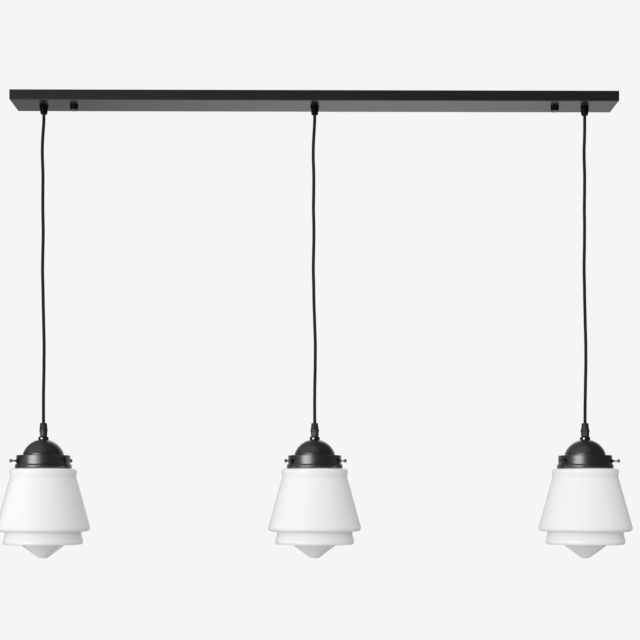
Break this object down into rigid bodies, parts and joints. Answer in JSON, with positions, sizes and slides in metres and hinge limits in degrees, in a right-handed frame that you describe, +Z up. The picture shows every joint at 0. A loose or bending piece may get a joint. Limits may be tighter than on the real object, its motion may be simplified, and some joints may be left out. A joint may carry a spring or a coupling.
{
  "type": "linear island pendant",
  "caption": "Low bar against the ceiling with a row of cord-hung domed galleries, each holding a closed stepped opal glass shade by thumb screws.",
  "frame": {"origin": "middle of the bar at the ceiling, which is also the middle of the four ceiling slots", "axes": "+X along the bar to the viewer's right, +Y to the back, +Z up into the ceiling"},
  "size_m": [1.371, 0.201, 0.9993],
  "materials": {
    "black_powder_coat": "matte, fine texture",
    "satin_black": "satin",
    "gloss_black": "gloss",
    "zinc_steel": "zinc plated",
    "brass": "plain",
    "black_plastic": "satin moulding",
    "white_plastic": "moulded",
    "black_textile": "braided sleeve",
    "earth_insulation": "green and yellow",
    "porcelain": "glazed",
    "opal_glass": "gloss opal white",
    "bulb_glass": "frosted"
  },
  "bodies": {
    "bar": {"ceiling_bar": "black_powder_coat", "ceiling_bracket_left": "zinc_steel", "ceiling_bracket_right": "zinc_steel", "bracket_studs": "zinc_steel", "terminal_block": "white_plastic", "terminal_screws": "zinc_steel", "terminal_block_fixings": "zinc_steel", "earth_fixings": "brass", "earth_lead": "earth_insulation", "upper_grip_bodies": "black_plastic", "upper_grip_caps": "black_plastic", "upper_grip_locknuts": "black_plastic", "cord_tails": "black_textile"},
    "cap_nut_left": {"cap_nut_left": "black_powder_coat"},
    "cap_nut_right": {"cap_nut_right": "black_powder_coat"},
    "cord_top_left": {"cord_top_left": "black_textile"},
    "cord_left": {"cord_left": "black_textile"},
    "lamp_left": {"lower_grip_cap_left": "black_plastic", "lower_grip_body_left": "black_plastic", "collar_ring_left": "gloss_black", "nipple_left": "zinc_steel", "gallery_left": "satin_black", "lampholder_housing_left": "zinc_steel", "lampholder_insert_left": "porcelain", "bulb_left": "bulb_glass", "glass_shade_left": "opal_glass"},
    "thumb_screw_left_1": {"thumb_screw_left_1": "satin_black"},
    "thumb_screw_left_2": {"thumb_screw_left_2": "satin_black"},
    "thumb_screw_left_3": {"thumb_screw_left_3": "satin_black"},
    "cord_top_middle": {"cord_top_middle": "black_textile"},
    "cord_middle": {"cord_middle": "black_textile"},
    "lamp_middle": {"lower_grip_cap_middle": "black_plastic", "lower_grip_body_middle": "black_plastic", "collar_ring_middle": "gloss_black", "nipple_middle": "zinc_steel", "gallery_middle": "satin_black", "lampholder_housing_middle": "zinc_steel", "lampholder_insert_middle": "porcelain", "bulb_middle": "bulb_glass", "glass_shade_middle": "opal_glass"},
    "thumb_screw_middle_1": {"thumb_screw_middle_1": "satin_black"},
    "thumb_screw_middle_2": {"thumb_screw_middle_2": "satin_black"},
    "thumb_screw_middle_3": {"thumb_screw_middle_3": "satin_black"},
    "cord_top_right": {"cord_top_right": "black_textile"},
    "cord_right": {"cord_right": "black_textile"},
    "lamp_right": {"lower_grip_cap_right": "black_plastic", "lower_grip_body_right": "black_plastic", "collar_ring_right": "gloss_black", "nipple_right": "zinc_steel", "gallery_right": "satin_black", "lampholder_housing_right": "zinc_steel", "lampholder_insert_right": "porcelain", "bulb_right": "bulb_glass", "glass_shade_right": "opal_glass"},
    "thumb_screw_right_1": {"thumb_screw_right_1": "satin_black"},
    "thumb_screw_right_2": {"thumb_screw_right_2": "satin_black"},
    "thumb_screw_right_3": {"thumb_screw_right_3": "satin_black"}
  },
  "joints": [
    {"name": "cap_nut_left_off", "type": "slide", "parent": "bar", "child": "cap_nut_left", "axis": [0, 0, -1], "range_m": [0, 0.008]},
    {"name": "cap_nut_right_off", "type": "slide", "parent": "bar", "child": "cap_nut_right", "axis": [0, 0, -1], "range_m": [0, 0.008]},
    {"name": "swing_left", "type": "hinge", "parent": "bar", "child": "cord_top_left", "pos_m": [-0.585, 0, -0.0396], "axis": [1, 0, 0], "range_deg": [-25, 25]},
    {"name": "sway_left", "type": "hinge", "parent": "cord_top_left", "child": "cord_left", "pos_m": [-0.585, 0, -0.0646], "axis": [0, 1, 0], "range_deg": [-10, 10]},
    {"name": "twist_left", "type": "hinge", "parent": "cord_left", "child": "lamp_left", "pos_m": [-0.585, 0, -0.7078], "axis": [0, 0, 1], "range_deg": [-180, 180]},
    {"name": "thumb_screw_left_1_out", "type": "slide", "parent": "lamp_left", "child": "thumb_screw_left_1", "axis": [0.8886, -0.4586, 0], "range_m": [0, 0.006]},
    {"name": "thumb_screw_left_2_out", "type": "slide", "parent": "lamp_left", "child": "thumb_screw_left_2", "axis": [-0.0471, 0.9989, 0], "range_m": [0, 0.006]},
    {"name": "thumb_screw_left_3_out", "type": "slide", "parent": "lamp_left", "child": "thumb_screw_left_3", "axis": [-0.8415, -0.5402, 0], "range_m": [0, 0.006]},
    {"name": "swing_middle", "type": "hinge", "parent": "bar", "child": "cord_top_middle", "pos_m": [0, 0, -0.0396], "axis": [1, 0, 0], "range_deg": [-25, 25]},
    {"name": "sway_middle", "type": "hinge", "parent": "cord_top_middle", "child": "cord_middle", "pos_m": [0, 0, -0.0646], "axis": [0, 1, 0], "range_deg": [-10, 10]},
    {"name": "twist_middle", "type": "hinge", "parent": "cord_middle", "child": "lamp_middle", "pos_m": [0, 0, -0.7078], "axis": [0, 0, 1], "range_deg": [-180, 180]},
    {"name": "thumb_screw_middle_1_out", "type": "slide", "parent": "lamp_middle", "child": "thumb_screw_middle_1", "axis": [0.8886, -0.4586, 0], "range_m": [0, 0.006]},
    {"name": "thumb_screw_middle_2_out", "type": "slide", "parent": "lamp_middle", "child": "thumb_screw_middle_2", "axis": [-0.0471, 0.9989, 0], "range_m": [0, 0.006]},
    {"name": "thumb_screw_middle_3_out", "type": "slide", "parent": "lamp_middle", "child": "thumb_screw_middle_3", "axis": [-0.8415, -0.5402, 0], "range_m": [0, 0.006]},
    {"name": "swing_right", "type": "hinge", "parent": "bar", "child": "cord_top_right", "pos_m": [0.585, 0, -0.0396], "axis": [1, 0, 0], "range_deg": [-25, 25]},
    {"name": "sway_right", "type": "hinge", "parent": "cord_top_right", "child": "cord_right", "pos_m": [0.585, 0, -0.0646], "axis": [0, 1, 0], "range_deg": [-10, 10]},
    {"name": "twist_right", "type": "hinge", "parent": "cord_right", "child": "lamp_right", "pos_m": [0.585, 0, -0.7078], "axis": [0, 0, 1], "range_deg": [-180, 180]},
    {"name": "thumb_screw_right_1_out", "type": "slide", "parent": "lamp_right", "child": "thumb_screw_right_1", "axis": [0.8886, -0.4586, 0], "range_m": [0, 0.006]},
    {"name": "thumb_screw_right_2_out", "type": "slide", "parent": "lamp_right", "child": "thumb_screw_right_2", "axis": [-0.0471, 0.9989, 0], "range_m": [0, 0.006]},
    {"name": "thumb_screw_right_3_out", "type": "slide", "parent": "lamp_right", "child": "thumb_screw_right_3", "axis": [-0.8415, -0.5402, 0], "range_m": [0, 0.006]}
  ]
}
